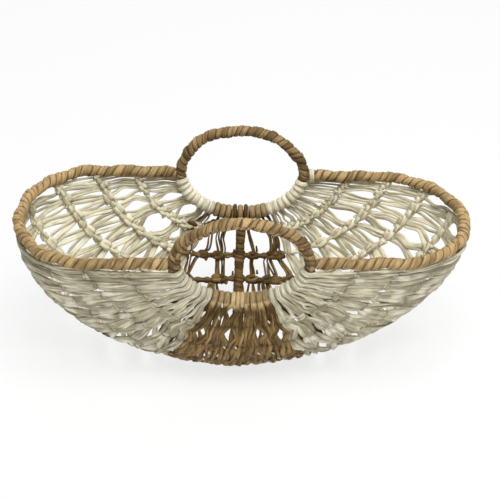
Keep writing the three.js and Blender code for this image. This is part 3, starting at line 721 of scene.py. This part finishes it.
# Ivory ends that show as flecks between the brown cords: cord number, place, and length along t. Two turns
# of cord also bind the right rim bar where it meets the back hoop.
flecks = np.array([
    (-0.12, 0.160, 0.010), (-1.12, 0.163, 0.009), (-2.25, 0.200, 0.011), (-2.40, 0.248, 0.016),
    (-0.50, 0.290, 0.014), (-2.45, 0.052, 0.010), (1.75, 0.200, 0.010), (2.88, 0.212, 0.012),
    (3.15, 0.255, 0.018), (3.45, 0.272, 0.010), (2.38, 0.275, 0.010), (3.45, 0.072, 0.011),
    (-2.60, 0.007, 0.014),
])
fleck_rise = 0.0027
binding_x, binding_length, binding_radius = 0.0748, 0.0044, 0.0064
ivory_girth = np.array([0.37, 0.0078, 0.255, 0.0056, 0.0031])
for label, side in (("left", -1), ("right", 1)):
    cords = Skins()
    for k in side * np.arange(brown_cords + 1, all_cords + 1):
        for half in (-1, 1):
            shares = net_shares(k, half, 0.0024)
            for twin in (-1, 1):
                girth = ivory_girth * (0.88 + 0.24 * seed.random())
                ivory_strand(cords, k, half, twin, shares, girth, 0.5 + 0.4 * (seed.random() - 0.5))
    net = cords.piece(f"{label}_ivory_cords", ivory)
    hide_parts(*[f"white_cord_{label}_{n}" for n in range(1, 9)])
    ties = Skins()
    for row in range(8):
        places = side * (np.arange(5, 12.5) + (0.5 if row in shifted_rows else 0))
        if row < 4:
            # The front knots' low tint is painted shade, as they lie sunk under the strands.
            knots_of(ties, row, places, tint=0.4, cord=0.0036, share=0.26, most=0.0036)
        else:
            row_cord(ties, row, side * (seam + 0.3), side * 12.2, tint=0.7, width=0.0046)
            knots_of(ties, row, places, tint=0.66, cord=0.0054, share=0.34, most=0.0056)
            knots_of(ties, row, places + side * 0.5, tint=0.62, cord=0.0052, share=0.26, most=0.0042,
                     skipped=0.1, turns=1.4)
    for k, t, length in flecks[np.sign(flecks[:, 0]) == side]:
        along = np.linspace(-0.5, 0.5, 6)
        path, out = on_wall(k + 0.15 * along, np.abs(t + length * along))
        strand(ties, path + out * fleck_rise, out, width=0.0019 * np.cos(along * 2), thick=0.0014,
               tint=0.7, bleach=0.3)
    if side > 0:
        angle = np.linspace(0, 4 * math.pi, 60)
        around = np.stack([0 * angle, np.cos(angle), np.sin(angle)], 1)
        bar = np.full((60, 3), [binding_x, rim_half_width, rim_height])
        bar[:, 0] += binding_length * angle / angle[-1]
        strand(ties, bar + binding_radius * around, around, width=0.0030, thick=0.0018, tint=0.6,
               bleach=0.2)
    rows = ties.piece(f"{label}_ivory_knots", ivory)
    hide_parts(*[f"white_row_{label}_{row}" for row in range(1, 9)])

# Brown cords on both sides of the keel, hitched over both bars: full and close in front, thin and drawn
# together behind, where the twin strands twist round each other and the cords stand unevenly. Each row
# gives one cord's middle, as a cord number, at the stops along it.
brown = fibre_finish("brown_cord", dark=(0.080, 0.047, 0.012), light=(0.495, 0.321, 0.132),
                     deep=(0.03, 0.018, 0.006), pale=(0.75, 0.555, 0.29), roughness=0.6, streak=0.9, bump=0.4)
brown_girth = np.array([0.42, 0.0060, 0.15, 0.0022, 0.0056])
brown_stops = np.array([0, 0.5, 0.60, 0.71, 0.74, 0.76, 0.815, 0.85, 0.895, 0.95, 1])
brown_lanes = np.array([
    (-4, -4, -4.1, -4.2, -4.2, -4.25, -4.55, -5.0, -5.5, -5.3, -4),
    (-3, -3, -3.0, -3.0, -3.3, -4.10, -3.90, -3.2, -3.3, -3.4, -3),
    (-2, -2, -2.1, -2.0, -2.1, -1.55, -1.85, -1.9, -2.5, -2.5, -2),
    (-1, -1, -1.5, -1.5, -1.7, -1.15, -1.35, -1.5, -1.9, -1.6, -1),
    (0, 0, 0.15, 0.2, 0.2, 0.2, 0.2, 0.2, 0.2, 0.1, 0),
    (1, 1, 1.0, 1.1, 1.1, 1.25, 1.25, 1.5, 1.35, 1.2, 1),
    (2, 2, 2.0, 1.9, 1.9, 2.50, 2.60, 3.4, 3.6, 3.0, 2),
    (3, 3, 2.9, 2.6, 2.5, 3.20, 2.90, 3.8, 4.0, 3.5, 3),
    (4, 4, 4.0, 4.1, 4.2, 4.40, 3.90, 4.0, 4.2, 4.2, 4),
])


def brown_strand(skins, k, half, twin, shares, girth, tint):
    """One of a brown cord's twin strands (-1 or 1), which roll round each other along their cord's own
    line. It is pale on the bars, over a chance length, partly wear and partly a painted highlight, and in
    front it has a painted shade just below the bar and is lighter further down."""
    made = NetStrand(k, half, shares)
    wide = made.width(girth)
    roll = 32 * made.t + ripple(made.t, 2.5, 9, made.phase[4]) + made.phase[5]
    middle = np.interp(made.t, brown_stops, brown_lanes[k + brown_cords])
    made.run_beside(middle, twin * 0.42 * wide / made.room * np.cos(roll) * made.ends)
    lift = twin * 0.0013 * np.sin(roll) * made.ends
    deep = strand_depth - depth_loss * made.ends - depth_loss * made.far * made.ends
    fade = 0.006 + 0.024 * math.sin(made.phase[2]) ** 2
    # Painted shade just below the front bar.
    shaded = np.exp(-((made.near - 0.038 - 0.012 * np.sin(made.phase[3])) / 0.032) ** 2)
    darker = 0.16 + 0.26 * abs(math.cos(made.phase[2]))
    tint = tint + (1 - made.far) * (0.16 - darker * shaded)
    made.lay(skins, lift, wide, deep * (1 + 0.3 * made.ends), 2.1, tint=tint, bleach=made.bar_wear_and_highlight(0.8, fade))


cords = Skins()
for k in range(-brown_cords, brown_cords + 1):
    for half in (-1, 1):
        shares = net_shares(k, half, 0.0028)
        shares[6:9] = 0.10
        shares[[0, -1]] = 0.05
        girth = brown_girth * (0.88 + 0.24 * seed.random())
        # Both twins take the same draws, so that they roll round one line.
        shared = seed.bit_generator.state
        for twin in (-1, 1):
            seed.bit_generator.state = shared
            brown_strand(cords, k, half, twin, shares, girth, 0.35 + 0.25 * twin * (seed.random() - 0.2))
net = cords.piece("brown_cords", brown)
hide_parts(*[f"brown_cord_{label}_{n}" for label in ("left", "right") for n in range(1, 5)])

# The keel rib: a rod bound with brown cord, hitched and lashed over both bars, with the brown part of each
# row of knots tied to it. Its binding is a tube round the rod, whose radius bulges across each turn. A
# point's place is its distance along the rod over the pitch, plus one for each turn, plus a ripple.
rib_pitch, rib_radius, rib_rings, rib_sides = 0.0058, 0.0042, 700, 28
back_swell, turn_bulge, rib_lump = 0.0007, 0.0005, 0.0003
back_inset, front_inset, back_shift = 0.0026, 0.0016, 0.0020
rib = Skins()
t = np.linspace(0.012, 0.988, rib_rings)
inset = back_inset + front_inset * (1 - smooth((t - 0.33) / 0.1))
path, out = on_wall(0 * t, t)
path = path - out * inset[:, None]
path[:, 0] += back_shift * behind(t) * smooth((1 - t) / 0.06)
line, run = evenly(path, rib_rings)
along = unit(np.gradient(line, axis=0))
side_way = unit(np.array([1.0, 0, 0]) - along * along[:, :1])
angle = 2 * math.pi * np.arange(rib_sides)[::-1] / rib_sides
place = run[:, None] / rib_pitch + angle / (2 * math.pi)
place = place + ripple(place, 0.2, 1.7)
number = np.floor(place)
edge = np.abs(2 * (place - number) - 1)
swell = back_swell * behind(t)[:, None]
radius = rib_radius + swell + turn_bulge * (1 - edge ** 3) + ripple(run, rib_lump, 190)[:, None]
rings = line[:, None] + radius[..., None] * round_about(angle, side_way, np.cross(along, side_way))
rings[..., 2] = np.maximum(rings[..., 2], 0)
fibre = np.stack([angle * 0.0045 + number * 0.02, (place - number) * rib_pitch, number * 0.007], -1)
chance = seed.random(400)[number.astype(int) % 400]
# The seams between the binding's turns are darkened: painted shade.
rib.add(rings, fibre, 0.2 + 0.2 * chance, np.clip((edge - 0.7) / 0.3, 0, 1) * 0.5)

# The brown part of each row of knots. In the last three rows they stand on the cords' own lanes.
for row in range(8):
    places = np.arange(-4, 4.5) if row not in shifted_rows else np.arange(-3.5, 4)
    if row > 4:
        places = np.array([np.interp(row_place(row, 0), brown_stops, lanes) for lanes in brown_lanes])
    if row < 3:
        knots_of(rib, row, places, tint=0.45, cord=0.0046, share=0.26, most=0.0036, skipped=0.45, turns=1.3)
    else:
        row_cord(rib, row, -seam, seam, tint=0.25, width=0.0068)
        knots_of(rib, row, places, tint=0.25, cord=0.0052, share=0.42, most=0.0056, skipped=0.1)

# Brown cords that run down inside the front of the net beside the brown field, and show in its openings:
# the cord number and place of four points of each, and how deep they lie inside the wall.
inner_depth = 0.0048
for points in (
        ((-4.6, 0.004), (-5.2, 0.08), (-5.1, 0.14), (-5.0, 0.24)),
        ((-4.6, 0.004), (-6.25, 0.043), (-6.0, 0.118), (-5.4, 0.24)),
        ((-4.7, 0.004), (-6.75, 0.085), (-7.25, 0.11), (-6.6, 0.26)),
        ((-5.0, 0.004), (-7.4, 0.055), (-8.0, 0.12), (-7.4, 0.26)),
        ((4.6, 0.004), (5.4, 0.045), (5.1, 0.125), (5.0, 0.24)),
        ((4.6, 0.004), (5.8, 0.08), (6.1, 0.14), (5.6, 0.24)),
        ((4.7, 0.004), (7.1, 0.07), (7.3, 0.12), (6.6, 0.26)),
        ((4.8, 0.004), (6.1, 0.06), (6.4, 0.107), (6.0, 0.24)),
        ((5.0, 0.004), (7.8, 0.03), (8.6, 0.095), (8.4, 0.26))):
    k, t = np.array(points).T
    place = np.linspace(t[0], t[-1], 40)
    lane = np.convolve(np.pad(np.interp(place, t, k), 3, "edge"), np.ones(7) / 7, "valid")
    path, out = on_wall(lane, place)
    strand(rib, path - out * inner_depth, out, width=0.0064, thick=0.0030, squareness=2.1,
           start=seed.random() * 3, tint=0.35)

# Cut ends beside the rows behind: cord number, place, and length in metres.
for k, t, length in ((-0.35, 0.772, 0.006), (1.7, 0.775, 0.005), (1.9, 0.852, 0.007), (-2.9, 0.832, -0.006),
                     (-0.4, 0.85, 0.004)):
    path, out = on_wall(np.full(6, k), t + np.linspace(-0.2, 1, 6) * length / 0.42)
    strand(rib, path, out, width=0.0030 * np.linspace(1, 0.6, 6), thick=0.0024, squareness=2.1,
           start=seed.random() * 3, tint=0.1)

# The lashings over the bars: the face, the shift along the bar, the width, the rise over a plain hitch, and
# the tint and bleach, a paleness that is partly wear and partly a painted highlight.
lashing_arc = np.linspace(math.radians(250), math.radians(-60), 24)
for face, shift, broad, rise, tint, bleach in (
        (-1, -0.0022, 0.0044, 0.0014, 0.55, 0.6), (-1, 0.0022, 0.0044, 0.0014, 0.55, 0.6),
        (1, -0.0060, 0.0044, 0.0028, 0.0, 0.0), (1, 0.0, 0.0052, 0.0022, 0.55, 0.0),
        (1, 0.0060, 0.0044, 0.0028, 0.0, 0.0)):
    path, turn = over_bar(face, -math.pi / 2, lashing_arc, hitch_radius + rise)
    path = path + np.array([shift, 0, 0])
    strand(rib, path, turn, broad, thick=0.0036, squareness=2.2, start=seed.random() * 3, tint=tint,
           bleach=bleach)
wrapped = rib.piece("keel_rib_binding", brown)
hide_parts("keel_rib_wrap")

# A plain pale floor and backdrop, white to the camera, in gloss and through glass, without more light on
# the basket. A part of the floor's colour stays matt and keeps the shadow. Three soft lamps light the
# basket, which is seen from the photograph's height and distance.
white = (1, 1, 1, 1)
floor_glow = 0.77


def looked_at(tree):
    """1 for rays from the camera, from gloss or through glass, and 0 for the rays that carry light."""
    rays = Wire(tree).node("LightPath", {}, {}, "Is Camera Ray")
    return rays + rays.output("Is Glossy Ray") + rays.output("Is Transmission Ray")


floor_mesh = bpy.data.meshes.new("floor")
floor_mesh.from_pydata([(-6, -6, 0), (6, -6, 0), (6, 9, 0), (-6, 9, 0)], [], [(0, 1, 2, 3)])
floor = bpy.data.objects.new("floor", floor_mesh)
scene.collection.objects.link(floor)
paper = bpy.data.materials.new("pale_floor")
paper.use_nodes = True
tree = paper.node_tree
matt = tree.nodes["Principled BSDF"]
matt.inputs["Base Color"].default_value = (0.86, 0.86, 0.86, 1)
matt.inputs["Roughness"].default_value = 0.9
glow = Wire(tree).node("Emission", {}, {"Color": white, "Strength": 1.0})
mixed = glow.node("MixShader", {}, {0: looked_at(tree) * floor_glow, 1: Wire(tree, matt.outputs[0]), 2: glow})
mixed.feed(tree.nodes["Material Output"], "Surface")
floor_mesh.materials.append(paper)

scene.world = bpy.data.worlds.new("studio")
scene.world.use_nodes = True
sky = scene.world.node_tree
lit = sky.nodes["Background"]
lit.inputs["Color"].default_value = white
lit.inputs["Strength"].default_value = 0.36
bright = Wire(sky).node("Background", {}, {"Color": white, "Strength": 1.0})
mixed = bright.node("MixShader", {}, {0: looked_at(sky), 1: Wire(sky, lit.outputs[0]), 2: bright})
mixed.feed(sky.nodes["World Output"], "Surface")

# Each lamp's place, size and power; they and the camera face the middle of the basket.
aim = np.array([0, 0, 0.1])
softboxes = ((1.2, -0.7, 1.3), 1.2, 1.5), ((0.40, -0.9, 2.6), 2.0, 70), ((0.0, 2.0, 1.7), 1.6, 9)
for place, size, power in softboxes:
    lamp = bpy.data.lights.new("softbox", "AREA")
    lamp.shape, lamp.size, lamp.energy = "DISK", size, power
    holder = bpy.data.objects.new("softbox", lamp)
    holder.location = place
    x, y, z = aim - np.array(place)
    holder.rotation_euler = (math.atan2(math.hypot(x, y), -z), 0, math.atan2(x, -y) + math.pi)
    scene.collection.objects.link(holder)

# The photograph in pixels: its width, the camera's focal length, and the point that it faces. The tilt is
# in radians and the distance in metres.
photo_width, photo_focal, photo_centre = 500, 1447, (242.3, 262.85)
tilt, distance = 0.543, 1.545
camera = bpy.data.cameras.new("camera")
camera.lens, camera.sensor_width = photo_focal / photo_width * 36, 36
camera.shift_x = (photo_width / 2 - photo_centre[0]) / photo_width
camera.shift_y = (photo_centre[1] - photo_width / 2) / photo_width
stand = bpy.data.objects.new("camera", camera)
stand.location = (0, -distance * math.cos(tilt), aim[2] + distance * math.sin(tilt))
stand.rotation_euler = (math.pi / 2 - tilt, 0, 0)
scene.collection.objects.link(stand)
scene.camera = stand
scene.view_settings.view_transform = "Standard"
